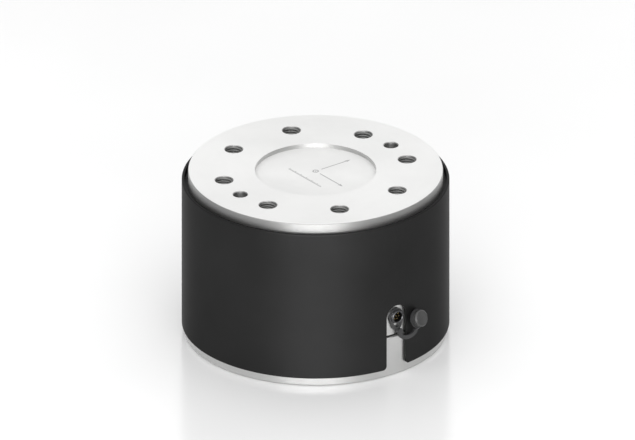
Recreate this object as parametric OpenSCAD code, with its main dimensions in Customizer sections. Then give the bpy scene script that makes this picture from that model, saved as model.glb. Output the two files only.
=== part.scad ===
// Six-axis force torque sensor: a tool plate on a spoked flexure, inside a round housing with a cover sleeve.
// Origin at the centre of the mounting face, +Z up to the tool face, +X out through the connector.

/* [Cover sleeve] */
// Outside diameter of the cover sleeve
cover_d = 150; // [146:1:170]
// Wall of the cover sleeve
cover_wall = 1.5; // [1.2:0.1:2.2]
// Rounding of the sleeve's outer edges
cover_edge = 0.7; // [0.3:0.1:1]
// Width of the arched connector slot
slot_w = 13.5; // [12.5:0.1:16]
// Rounding where the slot meets the lower edge
slot_foot_r = 2.8; // [0.5:0.1:3]

/* [Tool plate] */
// Thickness of the tool plate
plate_t = 18; // [16.5:0.5:24]
// Height that the tool plate stands above the sleeve
plate_proud = 5; // [2:0.1:8]
// Radial gap between the tool plate and the sleeve
plate_gap = 2.1; // [1.5:0.1:3]
// Chamfer of the tool plate's upper edge
plate_edge = 0.3; // [0.2:0.1:1]
// Height of the boss under the tool plate
boss_h = 5; // [4:0.5:8]

/* [Bolt and dowel pattern] */
// Number of tapped holes in each face
bolt_count = 8; // [6:1:8]
// Diameter of the circle that bolts and dowels share
bolt_circle = 106; // [100:1:110]
// Thread diameter of the tapped holes
bolt_d = 10; // [8:0.5:11]
// Depth of the tapped holes
bolt_depth = 15; // [10:0.5:15.5]
// Diameter of the dowel holes
dowel_d = 8; // [5:0.5:9]
// Depth of the dowel holes
dowel_depth = 10; // [6:0.5:14]
// Diameter of the round register in each face
register_d = 68; // [50:1:80]
// Depth of the register
register_depth = 2.5; // [1:0.1:3]
// Chamfer at the mouth of bolt and dowel holes
mouth = 0.4; // [0.2:0.1:0.8]

/* [Base flange] */
// Thickness of the base flange
flange_t = 25; // [22:0.5:32]
// Height of the bare rim below the sleeve
rim_h = 4.8; // [2:0.1:10]
// Chamfer of the rim's lower edge
foot_edge = 0.5; // [0.2:0.1:1]
// Height of the shadow groove where the housing stands on the flange
joint_gap = 1.4; // [0.6:0.1:2]
// Depth of that groove
joint_deep = 1.4; // [0.6:0.1:1.8]
// Chamfer at the groove's two edges
joint_edge = 0.3; // [0.2:0.1:0.6]
// Height of the spigot that centres the housing
spigot_h = 4; // [3.6:0.2:6]

/* [Housing] */
// Height of the electronics chamber, from the flange up to the ledge
chamber_h = 19; // [17.5:0.5:40]
// Radial clearance between the housing and the sleeve
body_fit = 0.1; // [0.05:0.01:0.2]
// Wall around the electronics chamber
chamber_wall = 11.4; // [11:0.1:13]
// Wall around the sensing element
socket_wall = 8.3; // [7.8:0.1:9]
// Thickness of the ledge that carries the sensing element
ledge_t = 8; // [6:0.5:10]
// Width of the ledge
ledge_w = 11; // [9:0.5:13]
// Gap between the housing's rim and the tool plate
rim_gap = 1; // [0.6:0.1:2]
// Width of the lip that hangs the sleeve on the housing
lip_w = 1.8; // [1.4:0.1:2]
// Thickness of that lip
lip_t = 3.2; // [2:0.1:4]

/* [Sensing element] */
// Height of the clamped ring
ring_h = 22; // [18:0.5:26]
// Width of the clamped ring
ring_w = 15; // [13:0.5:17]
// Height that the hub stands above the ring
hub_rise = 2; // [1:0.2:3]
// Diameter of the hub
hub_d = 46; // [44:1:52]
// Width of a spoke
spoke_w = 9; // [7:0.5:12]
// Number of spokes
spoke_count = 4; // [3:1:4]
// Depth that each spoke is cut back from the ring's faces
spoke_cut = 3; // [2:0.5:5]
// Thickness of the thin bar that ends each spoke
bar_t = 2.5; // [1.5:0.1:3]
// Radial slit behind each bar, at its middle
bar_slit = 3.5; // [2.5:0.1:4.5]
// Fillet in the inner corners
web_fillet = 1.5; // [1:0.1:2]

/* [Screws and pins] */
// Thread diameter of the inner screws
screw_d = 6; // [5:0.5:6]
// Number of screws in the clamped ring
ring_screws = 12; // [8:2:12]
// Number of screws in the hub
hub_screw_count = 6; // [4:1:6]
// Circle of the hub screws
hub_circle = 30; // [29:0.5:32]
// Number of screws through the base flange
base_screw_count = 8; // [6:1:8]
// Wall between the chamber and the threads of the base flange screws
base_wall = 1.5; // [1:0.1:2]
// Diameter of the inner locating dowels
pin_d = 5; // [4:0.5:5]
// Length of the inner locating dowels
pin_l = 16; // [12:1:18]
// Diameter of the overload pins
stop_d = 4; // [3:0.5:4.5]
// Radial play of the overload pins in the tool plate
stop_play = 0.3; // [0.2:0.05:0.5]
// Length of the overload pins
stop_l = 16; // [14:0.5:18]

/* [Connector] */
// Height of the port above the base flange
port_rise = 11.5; // [10.5:0.5:13]
// Outside diameter of the threaded barrel
port_d = 7.6; // [7:0.1:8]
// Bore of the barrel
port_bore = 5.9; // [5:0.1:6]
// How far the barrel's end stands out past the sleeve
port_reach = 1.5; // [1:0.1:4]
// Depth of the socket down to the insert
socket_depth = 5.4; // [4:0.1:7]
// Number of contacts around the centre one
contact_ring = 7; // [3:1:7]
// Diameter of a contact
contact_d = 0.8; // [0.5:0.1:0.9]
// Width across flats of the panel nut
nut_af = 11; // [10:0.5:12]

/* [Cap and tether] */
// Diameter of the protective cap
cap_d = 9.6; // [9.5:0.1:12]
// Length of the protective cap
cap_l = 4.8; // [4:0.1:6]
// Distance of the cap from the port, around the sleeve
cap_side = 12.8; // [12:0.1:16]
// Distance that the cap hangs below the port
cap_drop = 4.7; // [3:0.1:6]
// Angle that the hanging cap leans up
cap_lean = 18; // [0:1:20]
// Thickness of the tether
tether_t = 1.1; // [0.8:0.1:1.3]
// Width of the tether's strap
strap_w = 2.4; // [1.6:0.1:3]
// Sag of the tether's strap below its two ends
strap_sag = 3.4; // [3:0.1:6]

/* [Electronics] */
// Diameter of the signal board
board_d = 92; // [80:1:100]
// Thickness of the signal board
board_t = 1.6; // [1:0.1:2]
// Height of the spacers under the board
spacer_h = 5; // [4:0.5:7]
// Length of a strain gauge
gauge_l = 6; // [4:0.5:7]
// Diameter of a gauge lead
lead_d = 1; // [0.6:0.1:1.4]

/* [Hidden] */

$fn = 96;
eps = 0.01;
over = 1;

// clearances shared by the fits
thread_fit = 0.05;
press_fit = 0.02;
seat_fit = 0.1;
screw_play = 0.3;

// radii, from the sleeve inwards
cover_r = cover_d / 2;
cover_ri = cover_r - cover_wall;
body_r = cover_ri - body_fit;
plate_r = cover_ri - plate_gap;
lip_r = cover_ri - lip_w;
chamber_r = body_r - chamber_wall;
socket_r = body_r - socket_wall;
element_r = socket_r - seat_fit;
ledge_r = element_r - ledge_w;
ring_ri = element_r - ring_w;
hub_r = hub_d / 2;
boss_r = hub_r;
bar_r = ring_ri - bar_slit - bar_t;

// heights, from the mounting face up
ledge_z = flange_t + chamber_h;
ring_z = ledge_z + ledge_t;
ring_top = ring_z + ring_h;
hub_top = ring_top + hub_rise;
plate_z = hub_top + boss_h;
top_z = plate_z + plate_t;
cover_top = top_z - plate_proud;
housing_top = plate_z - rim_gap;
lip_z = housing_top - lip_t - rim_gap;
spoke_top = ring_top - spoke_cut;
spoke_z = ring_z + spoke_cut;
port_z = flange_t + port_rise;

// faces share one bolt pattern; the dowels lie on the Y axis at the tool and on the X axis at the base
bolt_step = 360 / bolt_count;
bolt_turn = bolt_step / 2;
tool_dowel_turns = [90, 270];
base_dowel_turns = [0, 180];

// inner screws
screw_r = screw_d / 2;
head_r = screw_d * 0.83;
head_h = screw_d;
head_pit = head_h + 0.2;
head_play = 0.4;
ring_circle_r = ring_ri + ring_w * 0.53;
ring_turn = 180 / ring_screws;
hub_turn = 0;
hub_pin_r = 8;
hub_pin_turns = [180 / hub_screw_count, 180 + 180 / hub_screw_count];
base_circle_r = chamber_r + base_wall + screw_r;
base_turn = bolt_turn / 2;
thread_run = 12;
drill_spare = 0.6;
ring_screw_l = ring_h - head_pit + ledge_t - 0.5;
hub_screw_l = ring_h + hub_rise - head_pit + thread_run;
base_pit = 7;
base_screw_l = flange_t - base_pit + thread_run;
stop_circle_r = (socket_r + lip_r) / 2;
stop_count = 4;
stop_sink = 10;

// soft rings
gap_seal_h = 2.4;
gap_seal_drop = 3.8;
seal_seat = 1.2;
o_ring_fit = 0.05;
sleeve_ring_r = 0.75;
sleeve_ring_z = ring_z + ring_h * 0.64;
flange_ring_r = 0.7;
flange_ring_z = flange_t + spigot_h / 2;

// connector, along X
port_end = cover_r + port_reach;
seat_sink = 0.8;
seat_play = 0.3;
seat_x = body_r - seat_sink;
port_edge = 0.3;
port_flange_t = 0.9;
port_flange_r = port_d / 2 + 0.8;
rear_r = port_d / 2 + 0.1;
nut_seat_x = chamber_r + 0.2;
nut_t = 3;
nut_pit_r = nut_af / 2 / cos(30) + 0.5;
port_tail = nut_seat_x - nut_t - 2.6;
socket_floor = port_end - socket_depth;
insert_back = port_tail + 1;
contact_circle_r = port_bore * 0.32;
contact_reach = 3.6;
contact_tail = 1;
wire_d = 0.64;
o_ring_x = nut_seat_x + 8.2;
port_ring_r = 0.35;

// cap and tether, in the frame of the port
eye_gap = 0.15;
eye_in_r = port_d / 2 + eye_gap;
eye_out_r = eye_in_r + 0.75;
eye_drop = 5.4;
eye_foot_out = 0.72 * eye_out_r;
eye_foot_in = 0.38 * eye_in_r;
eye_x = seat_x + port_flange_t + eye_gap;
hang_gap = 0.4;
strap_x = cover_r + hang_gap;
knuckle = [1.8, -9.6];
knuckle_r = 1.8;
cap_r = cap_d / 2;
cap_ring_in = cap_r - 0.5;
cap_ring_out = cap_r + 0.5;
cap_ring_back = 0.4;
cap_turn = asin(cap_side / cover_r);
cap_back = cover_r + hang_gap + cap_ring_out * sin(cap_lean);
cap_groove_fit = 0.1;
cap_ring_z = cap_ring_back + cap_groove_fit / 2;
cap_shell = 1;
cap_back_edge = 0.2;
cap_edge = 0.7;
gasket_t = 0.8;
cap_foot = [cap_side, -cap_drop - cap_ring_out * cos(cap_lean) - 1.2];
bend_inset = 0.08;
strap_mid = (knuckle[0] + cap_foot[0]) / 2;
strap_r = (cap_foot[0] - knuckle[0]) / 2;

// electronics
board_r = board_d / 2;
board_ri = 12;
board_z = flange_t + spacer_h;
board_top = board_z + board_t;
spacer_r = board_r - 7;
spacer_turns = [22.5, 112.5, 202.5, 292.5];
board_screw_d = 3;
board_grip = 4;
amplifier = [5, 6, 1.6];
converter = [9, 9, 1.4];
processor = [10, 10, 1.6];
amplifier_r = board_ri + 6.5;
chip_gap = 5;
gauge_w = 3.5;
gauge_t = 0.3;
glue_t = 0.02;
gauge_mid = hub_r + 2 + gauge_l / 2;
pad_size = 3;
pad_t = 0.6;
pad_mid = gauge_mid + gauge_l / 2 + 1 + pad_size / 2;
header_h = 4;
header_l = 7;
header_w = 5;
port_header_x = board_r - 6;
port_header_h = port_z + contact_circle_r + 1.2 - board_top;
lead_side = 0.9;

function polar(r, a) = [r * cos(a), r * sin(a)];
spoke_turns = [for (i = [0 : spoke_count - 1]) 45 + i * 360 / spoke_count];

// copies its children round a circle
module around(r, turns) {
    for (a = turns) rotate(a) translate([r, 0, 0]) children();
}

// stands its children along +X, with their own X along Y and their own Y along Z
module along_x(x = 0) {
    translate([x, 0, 0]) rotate([90, 0, 90]) children();
}

// disc with a chamfer on its lower and upper outer edge
module edged_disc(r, h, low = 0, high = 0) {
    rotate_extrude() polygon([
        [0, 0], [r - low, 0], [r, low], [r, h - high], [r - high, h], [0, h]
    ]);
}

// blind hole that opens upwards at z = 0, with a chamfered mouth
module blind_hole(d, depth) {
    translate([0, 0, -depth]) cylinder(d = d, h = depth + over);
    translate([0, 0, -mouth]) cylinder(d1 = d, d2 = d + 2 * mouth, h = mouth);
    translate([0, 0, -eps]) cylinder(d = d + 2 * mouth, h = over);
}

// what each mounting face has cut into it, from z = 0 down
module face_pattern(dowel_turns) {
    around(bolt_circle / 2, [for (i = [0 : bolt_count - 1]) bolt_turn + i * bolt_step])
        blind_hole(bolt_d, bolt_depth);
    around(bolt_circle / 2, dowel_turns) blind_hole(dowel_d, dowel_depth);
    translate([0, 0, -register_depth]) cylinder(d = register_d, h = register_depth + over);
}

// socket head cap screw, head down at z = 0, thread up
module cap_screw(d, l) {
    difference() {
        union() {
            cylinder(r = head_r * d / screw_d, h = d);
            translate([0, 0, d - eps]) cylinder(d = d, h = l + eps);
        }
        translate([0, 0, -over]) cylinder(r = d * 0.48, h = over + d * 0.5, $fn = 6);
    }
}

// straight round rod from one point to another
module rod(a, b, d) {
    run = b - a;
    reach = norm(run);
    translate(a) rotate([0, acos(run[2] / reach), atan2(run[1], run[0])])
        cylinder(d = d, h = reach, $fn = 24);
}

// O-ring around Z
module o_ring(mid_r, sec_r) {
    rotate_extrude() translate([mid_r, 0]) circle(r = sec_r, $fn = 32);
}

module tool_plate() color("gainsboro") difference() {
    union() {
        translate([0, 0, plate_z]) edged_disc(plate_r, plate_t, plate_edge, plate_edge);
        translate([0, 0, hub_top]) cylinder(r = boss_r, h = boss_h + over);
    }
    translate([0, 0, top_z]) face_pattern(tool_dowel_turns);
    translate([0, 0, cover_top - gap_seal_drop - gap_seal_h - seat_fit]) difference() {
        cylinder(r = plate_r + over, h = gap_seal_h + 2 * seat_fit);
        translate([0, 0, -over]) cylinder(r = plate_r - seal_seat, h = gap_seal_h + 2 * over);
    }
    around(hub_circle / 2, [for (i = [0 : hub_screw_count - 1]) hub_turn + i * 360 / hub_screw_count])
        translate([0, 0, hub_top - over])
            cylinder(r = screw_r + thread_fit, h = thread_run + drill_spare + over);
    around(hub_pin_r, hub_pin_turns)
        translate([0, 0, hub_top - over]) cylinder(d = pin_d + 2 * press_fit, h = pin_l / 2 + 2 * over);
    around(stop_circle_r, [for (i = [0 : stop_count - 1]) i * 360 / stop_count])
        translate([0, 0, plate_z - over])
            cylinder(d = stop_d + 2 * stop_play, h = stop_l - stop_sink - rim_gap + 2 * over);
}

// points of a quarter round about a centre, from one angle to another
function arc(c, r, from, to, steps = 6) =
    [for (i = [0 : steps]) c + polar(r, from + (to - from) * i / steps)];

// the sleeve's wall section, with rounded outer corners and the lip it hangs by
module sleeve_section() {
    edge_mid = cover_r - cover_edge;
    polygon(concat(
        [[cover_ri, rim_h]],
        arc([edge_mid, rim_h + cover_edge], cover_edge, -90, 0),
        arc([edge_mid, cover_top - cover_edge], cover_edge, 0, 90),
        [[cover_ri, cover_top], [cover_ri, lip_z + lip_t], [lip_r, lip_z + lip_t]],
        [[lip_r, lip_z], [cover_ri, lip_z]]
    ));
}

// corner cut away on one side of the slot's foot, so that the foot ends in a quarter round
function foot_cut(side) = [
    for (p = concat(
        [[slot_w / 2 - eps, rim_h + slot_foot_r], [slot_w / 2 - eps, rim_h - over]],
        [[slot_w / 2 + slot_foot_r, rim_h - over]],
        arc([slot_w / 2 + slot_foot_r, rim_h + slot_foot_r], slot_foot_r, 270, 180, 10)
    )) [side * p[0], p[1]]
];

// outline of the arched slot, Y across and Z up
module slot_outline() {
    translate([0, port_z]) circle(d = slot_w);
    translate([-slot_w / 2, rim_h - over]) square([slot_w, port_z - rim_h + over]);
    for (side = [-1, 1]) polygon(foot_cut(side));
}

module cover_sleeve() color("#2b2b2c") difference() {
    rotate_extrude() sleeve_section();
    along_x(lip_r - over) linear_extrude(cover_r - lip_r + 2 * over) slot_outline();
}

module body_housing() color("silver") difference() {
    rotate_extrude() polygon([
        [chamber_r, flange_t], [body_r - joint_edge, flange_t], [body_r, flange_t + joint_edge],
        [body_r, lip_z], [lip_r - seat_fit, lip_z], [lip_r - seat_fit, housing_top],
        [socket_r, housing_top], [socket_r, ring_z], [ledge_r, ring_z], [ledge_r, ledge_z],
        [chamber_r, ledge_z]
    ]);
    // groove that holds the sleeve's O-ring
    translate([0, 0, sleeve_ring_z - sleeve_ring_r - seat_fit]) difference() {
        cylinder(r = body_r + over, h = 2 * (sleeve_ring_r + seat_fit));
        translate([0, 0, -over])
            cylinder(r = cover_ri - 2 * (sleeve_ring_r + o_ring_fit), h = 2 * sleeve_ring_r + 3 * over);
    }
    // threads for the sensing element, from the ledge, and for the base flange, from below
    around(ring_circle_r, [for (i = [0 : ring_screws - 1]) ring_turn + i * 360 / ring_screws])
        translate([0, 0, ledge_z - over]) cylinder(r = screw_r + thread_fit, h = ledge_t + 2 * over);
    around(ring_circle_r, [0, 180])
        translate([0, 0, ring_z - pin_l / 2]) cylinder(d = pin_d + 2 * press_fit, h = pin_l);
    around(base_circle_r, [for (i = [0 : base_screw_count - 1]) base_turn + i * 360 / base_screw_count])
        translate([0, 0, flange_t - over])
            cylinder(r = screw_r + thread_fit, h = thread_run + drill_spare + over);
    around(stop_circle_r, [for (i = [0 : stop_count - 1]) i * 360 / stop_count])
        translate([0, 0, housing_top - stop_sink]) cylinder(d = stop_d + 2 * press_fit, h = stop_sink + over);
    // connector bore with its two flat seats
    translate([0, 0, port_z]) {
        along_x(chamber_r - 2 * over) cylinder(r = rear_r + seat_fit, h = chamber_wall + 4 * over);
        along_x(ledge_r - over) cylinder(r = nut_pit_r, h = nut_seat_x - ledge_r + over);
        along_x(seat_x) cylinder(r = port_flange_r + seat_play, h = 3 * over);
    }
}

module base_flange() color("silver") difference() {
    union() {
        edged_disc(body_r, flange_t - joint_gap, foot_edge, joint_edge);
        cylinder(r = body_r - joint_deep, h = flange_t);
        translate([0, 0, flange_t - over]) cylinder(r = chamber_r - seat_fit, h = spigot_h + over);
    }
    mirror([0, 0, 1]) face_pattern(base_dowel_turns);
    // groove in the spigot for the flange's O-ring
    translate([0, 0, flange_ring_z - flange_ring_r - seat_fit]) difference() {
        cylinder(r = chamber_r + over, h = 2 * (flange_ring_r + seat_fit));
        translate([0, 0, -over])
            cylinder(r = chamber_r - 2 * (flange_ring_r + o_ring_fit), h = 2 * flange_ring_r + 3 * over);
    }
    // the board stands in a pocket of the spigot
    translate([0, 0, flange_t]) cylinder(r = board_r + 2, h = spigot_h + over);
    around(base_circle_r, [for (i = [0 : base_screw_count - 1]) base_turn + i * 360 / base_screw_count]) {
        translate([0, 0, -over]) cylinder(r = screw_r + screw_play, h = flange_t + 2 * over);
        translate([0, 0, -over]) cylinder(r = head_r + head_play, h = base_pit + over);
    }
    around(spacer_r, spacer_turns)
        translate([0, 0, flange_t - board_grip - over])
            cylinder(d = board_screw_d + 2 * thread_fit, h = board_grip + 2 * over);
}

// plan of the sensing element inside its clamped ring: hub, spokes and the thin bars that end them
module web_plan() {
    circle(r = hub_r);
    difference() {
        circle(r = element_r - over);
        circle(r = ring_ri);
    }
    for (a = spoke_turns) rotate(a) {
        translate([0, -spoke_w / 2]) square([bar_r + bar_t / 2, spoke_w]);
        intersection() {
            translate([bar_r, -ring_ri]) square([bar_t, 2 * ring_ri]);
            circle(r = ring_ri + over);
        }
    }
}

// windows between the spokes and slits behind the bars, with every inner corner rounded
module web_windows() {
    difference() {
        circle(r = ring_ri + eps);
        offset(r = -web_fillet, $fn = 24) offset(r = web_fillet, $fn = 24) web_plan();
    }
}

module sensing_element() color("lightsteelblue") difference() {
    union() {
        translate([0, 0, ring_z]) cylinder(r = element_r, h = ring_h);
        translate([0, 0, ring_top - over]) cylinder(r = hub_r, h = hub_rise + over);
    }
    translate([0, 0, ring_z - over]) linear_extrude(ring_h + 2 * over) web_windows();
    // the spokes are lower than the ring, so that their ends bend first
    for (face = [ring_z - over, spoke_top]) translate([0, 0, face]) difference() {
        cylinder(r = bar_r - 1, h = spoke_cut + over);
        translate([0, 0, -over]) cylinder(r = hub_r, h = spoke_cut + 3 * over);
    }
    around(ring_circle_r, [for (i = [0 : ring_screws - 1]) ring_turn + i * 360 / ring_screws]) {
        translate([0, 0, ring_z - over]) cylinder(r = screw_r + screw_play, h = ring_h + 2 * over);
        translate([0, 0, ring_top - head_pit]) cylinder(r = head_r + head_play, h = head_pit + over);
    }
    around(ring_circle_r, [0, 180])
        translate([0, 0, ring_z - over]) cylinder(d = pin_d + 2 * press_fit, h = pin_l / 2 + over);
    around(hub_circle / 2, [for (i = [0 : hub_screw_count - 1]) hub_turn + i * 360 / hub_screw_count]) {
        translate([0, 0, ring_z - over]) cylinder(r = screw_r + screw_play, h = ring_h + hub_rise + 2 * over);
        translate([0, 0, ring_z - over]) cylinder(r = head_r + head_play, h = head_pit + over);
    }
    around(hub_pin_r, hub_pin_turns)
        translate([0, 0, hub_top - pin_l / 2]) cylinder(d = pin_d + 2 * press_fit, h = pin_l / 2 + over);
}

// one foil gauge on each of the four sides of every spoke
module strain_gauges() color("goldenrod") for (a = spoke_turns) rotate(a) {
    translate([gauge_mid - gauge_l / 2, -gauge_w / 2, 0]) {
        translate([0, 0, spoke_top + glue_t]) cube([gauge_l, gauge_w, gauge_t]);
        translate([0, 0, spoke_z - gauge_t - glue_t]) cube([gauge_l, gauge_w, gauge_t]);
    }
    for (side = [-1, 1])
        translate([gauge_mid, side * ((spoke_w + gauge_t) / 2 + glue_t), (spoke_z + spoke_top) / 2])
            cube([gauge_l, gauge_t, gauge_w], center = true);
}

// solder pads beside the gauges, under each spoke
module terminal_pads() color("peru") around(pad_mid, spoke_turns)
    translate([-pad_size / 2, -pad_size / 2, spoke_z - pad_t]) cube([pad_size, pad_size, pad_t]);

// a header below each spoke, and a tall one that faces the port
module lead_headers() color("ivory") {
    around(pad_mid, spoke_turns)
        translate([-header_w / 2, -header_l / 2, board_top]) cube([header_w, header_l, header_h]);
    translate([port_header_x - header_w, -header_l / 2, board_top]) cube([header_w, header_l, port_header_h]);
}

// two wires from each pad down to the header below it
module gauge_leads() color("firebrick") around(pad_mid, spoke_turns) for (side = [-1, 1])
    rod([0, side * lead_side, board_top + header_h], [0, side * lead_side, spoke_z - pad_t], lead_d);

module element_screws() color("dimgray")
    around(ring_circle_r, [for (i = [0 : ring_screws - 1]) ring_turn + i * 360 / ring_screws])
        translate([0, 0, ring_top - head_pit + head_h]) mirror([0, 0, 1]) cap_screw(screw_d, ring_screw_l);

module hub_screws() color("dimgray")
    around(hub_circle / 2, [for (i = [0 : hub_screw_count - 1]) hub_turn + i * 360 / hub_screw_count])
        translate([0, 0, ring_z + head_pit - head_h]) cap_screw(screw_d, hub_screw_l);

module base_screws() color("dimgray")
    around(base_circle_r, [for (i = [0 : base_screw_count - 1]) base_turn + i * 360 / base_screw_count])
        translate([0, 0, base_pit - head_h]) cap_screw(screw_d, base_screw_l);

module locating_dowels() color("lightgray") {
    around(ring_circle_r, [0, 180]) translate([0, 0, ring_z - pin_l / 2]) cylinder(d = pin_d, h = pin_l);
    around(hub_pin_r, hub_pin_turns) translate([0, 0, hub_top - pin_l / 2]) cylinder(d = pin_d, h = pin_l);
}

module overload_pins() color("lightgray")
    around(stop_circle_r, [for (i = [0 : stop_count - 1]) i * 360 / stop_count])
        translate([0, 0, housing_top - stop_sink]) cylinder(d = stop_d, h = stop_l);

module gap_seal() color("#1a1a1a")
    translate([0, 0, cover_top - gap_seal_drop - gap_seal_h]) difference() {
        cylinder(r = cover_ri - o_ring_fit, h = gap_seal_h);
        translate([0, 0, -over]) cylinder(r = plate_r - seal_seat + o_ring_fit, h = gap_seal_h + 2 * over);
    }

module sleeve_o_ring() color("#1a1a1a")
    translate([0, 0, sleeve_ring_z]) o_ring(cover_ri - sleeve_ring_r - o_ring_fit, sleeve_ring_r);

module flange_o_ring() color("#1a1a1a")
    translate([0, 0, flange_ring_z]) o_ring(chamber_r - flange_ring_r - o_ring_fit, flange_ring_r);

module signal_board() color("darkgreen") translate([0, 0, board_z]) difference() {
    cylinder(r = board_r, h = board_t);
    translate([0, 0, -over]) cylinder(r = board_ri, h = board_t + 2 * over);
    around(spacer_r, spacer_turns)
        translate([0, 0, -over]) cylinder(d = board_screw_d + 2 * screw_play, h = board_t + 2 * over);
}

// amplifier beside each header, converter and processor between them
module board_chips() color("#202020") translate([0, 0, board_top]) {
    around(amplifier_r, spoke_turns) translate([-amplifier[0] / 2, -amplifier[1] / 2, 0]) cube(amplifier);
    translate([-converter[0] / 2, board_ri + chip_gap, 0]) cube(converter);
    translate([-processor[0] / 2, -board_ri - chip_gap - processor[1], 0]) cube(processor);
}

module board_spacers() color("silver") around(spacer_r, spacer_turns) translate([0, 0, flange_t])
    difference() {
        cylinder(d = 2 * board_screw_d, h = spacer_h, $fn = 6);
        translate([0, 0, -over]) cylinder(d = board_screw_d + 2 * screw_play, h = spacer_h + 2 * over);
    }

module board_screws() color("dimgray") around(spacer_r, spacer_turns)
    translate([0, 0, board_top + board_screw_d]) mirror([0, 0, 1])
        cap_screw(board_screw_d, board_t + spacer_h + board_grip);

// turned shell of the port: threaded barrel, seat flange and the neck that passes through the wall
module connector_shell() color("#222222") translate([0, 0, port_z]) difference() {
    union() {
        along_x(seat_x) cylinder(r = port_flange_r, h = port_flange_t);
        along_x(seat_x) edged_disc(port_d / 2, port_end - seat_x, 0, port_edge);
        along_x(port_tail) cylinder(r = rear_r, h = seat_x - port_tail + eps);
    }
    along_x(port_tail - over) cylinder(d = port_bore, h = port_end - port_tail + 2 * over);
    along_x(o_ring_x - port_ring_r - seat_fit) difference() {
        cylinder(r = rear_r + over, h = 2 * (port_ring_r + seat_fit));
        translate([0, 0, -over])
            cylinder(r = rear_r + seat_fit - 2 * (port_ring_r + o_ring_fit), h = 2 * port_ring_r + 3 * over);
    }
}

module connector_o_ring() color("#1a1a1a") translate([0, 0, port_z])
    along_x(o_ring_x) o_ring(rear_r + seat_fit - port_ring_r - o_ring_fit, port_ring_r);

module connector_nut() color("silver") translate([0, 0, port_z]) along_x(nut_seat_x - nut_t) difference() {
    cylinder(d = nut_af / cos(30), h = nut_t, $fn = 6);
    translate([0, 0, -over]) cylinder(r = rear_r + thread_fit, h = nut_t + 2 * over);
}

// places of the contacts in the insert: one in the middle, the rest around it
contact_spots = concat(
    [[0, 0]],
    [for (i = [0 : contact_ring - 1]) polar(contact_circle_r, 90 + i * 360 / contact_ring)]
);

module connector_insert() color("#303030") translate([0, 0, port_z]) along_x(insert_back) difference() {
    cylinder(r = port_bore / 2 - thread_fit, h = socket_floor - insert_back);
    for (p = contact_spots) translate([p[0], p[1], -over])
        cylinder(d = contact_d + 2 * press_fit, h = socket_floor - insert_back + 2 * over, $fn = 24);
}

module contact_pins() color("gold") translate([0, 0, port_z]) along_x(insert_back - contact_tail)
    for (p = contact_spots) translate([p[0], p[1], 0])
        cylinder(d = contact_d, h = socket_floor + contact_reach - insert_back + contact_tail, $fn = 24);

// one wire from each contact to the header that faces it
module connector_leads() color("orange") translate([0, 0, port_z]) along_x(port_header_x)
    for (p = contact_spots) translate([p[0], p[1], 0])
        cylinder(d = wire_d, h = insert_back - contact_tail - port_header_x, $fn = 24);

// frame of the cap: its own +Z points out of the sleeve, along the cap's axis
module at_cap() {
    translate([0, 0, port_z - cap_drop]) rotate(cap_turn) translate([cap_back, 0, 0])
        rotate([0, -cap_lean, 0]) along_x() children();
}

module connector_cap() color("#4a4a4a") at_cap() difference() {
    edged_disc(cap_r, cap_l, cap_back_edge, cap_edge);
    translate([0, 0, -over]) cylinder(d = port_d + 2 * seat_fit, h = cap_l - cap_shell + over);
    translate([0, 0, cap_ring_back]) difference() {
        cylinder(r = cap_r + over, h = tether_t + cap_groove_fit);
        translate([0, 0, -over]) cylinder(r = cap_ring_in - cap_groove_fit, h = tether_t + 3 * over);
    }
}

module cap_gasket() color("#1a1a1a") at_cap() translate([0, 0, cap_l - cap_shell - gasket_t]) difference() {
    cylinder(d = port_d + seat_fit, h = gasket_t);
    translate([0, 0, -over]) cylinder(d = port_bore, h = gasket_t + 2 * over);
}

// moulded tether: a long eye on the barrel, a knuckle through the slot, a U-shaped strap and the cap's ring
module cap_tether() color("#3a3a3a") {
    translate([0, 0, port_z]) {
        along_x(eye_x) linear_extrude(tether_t) difference() {
            hull() {
                circle(r = eye_out_r);
                translate([knuckle[0] / 4, -eye_drop]) circle(r = eye_foot_out);
            }
            hull() {
                circle(r = eye_in_r);
                translate([knuckle[0] / 3, -eye_drop]) circle(r = eye_foot_in);
            }
        }
        along_x(eye_x) translate(knuckle) cylinder(r = knuckle_r, h = strap_x + tether_t - eye_x);
        along_x(strap_x) linear_extrude(tether_t) {
            translate([strap_mid, cap_foot[1]]) difference() {
                scale([strap_r + strap_w / 2, strap_sag + strap_w / 2]) circle(r = 1);
                scale([strap_r - strap_w / 2, strap_sag - strap_w / 2]) circle(r = 1);
                translate([-2 * strap_r, 0]) square([4 * strap_r, 2 * strap_r]);
            }
        }
    }
    // the strap's end bends out to the ring in the cap's groove
    bend_t = tether_t - 2 * bend_inset;
    bend_z = port_z + cap_foot[1] - strap_w / 4;
    hull() {
        translate([strap_x + bend_inset, cap_foot[0] - strap_w / 2 + bend_inset, bend_z])
            cube([bend_t, strap_w - 2 * bend_inset, strap_w / 4]);
        at_cap() translate([-strap_w / 2, bend_inset - cap_ring_out, cap_ring_z + bend_inset])
            cube([strap_w, cap_ring_out - cap_r - 3 * bend_inset, bend_t]);
    }
    at_cap() translate([0, 0, cap_ring_z]) difference() {
        cylinder(r = cap_ring_out, h = tether_t);
        translate([0, 0, -over]) cylinder(r = cap_ring_in, h = tether_t + 2 * over);
    }
}

tool_plate();
cover_sleeve();
body_housing();
base_flange();
sensing_element();
strain_gauges();
terminal_pads();
gauge_leads();
element_screws();
hub_screws();
locating_dowels();
base_screws();
overload_pins();
gap_seal();
sleeve_o_ring();
flange_o_ring();
signal_board();
board_chips();
lead_headers();
board_spacers();
board_screws();
connector_shell();
connector_o_ring();
connector_nut();
connector_insert();
contact_pins();
connector_leads();
connector_cap();
cap_gasket();
cap_tether();
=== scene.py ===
import math

import bmesh
import bpy
from mathutils import Matrix, Vector


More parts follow.
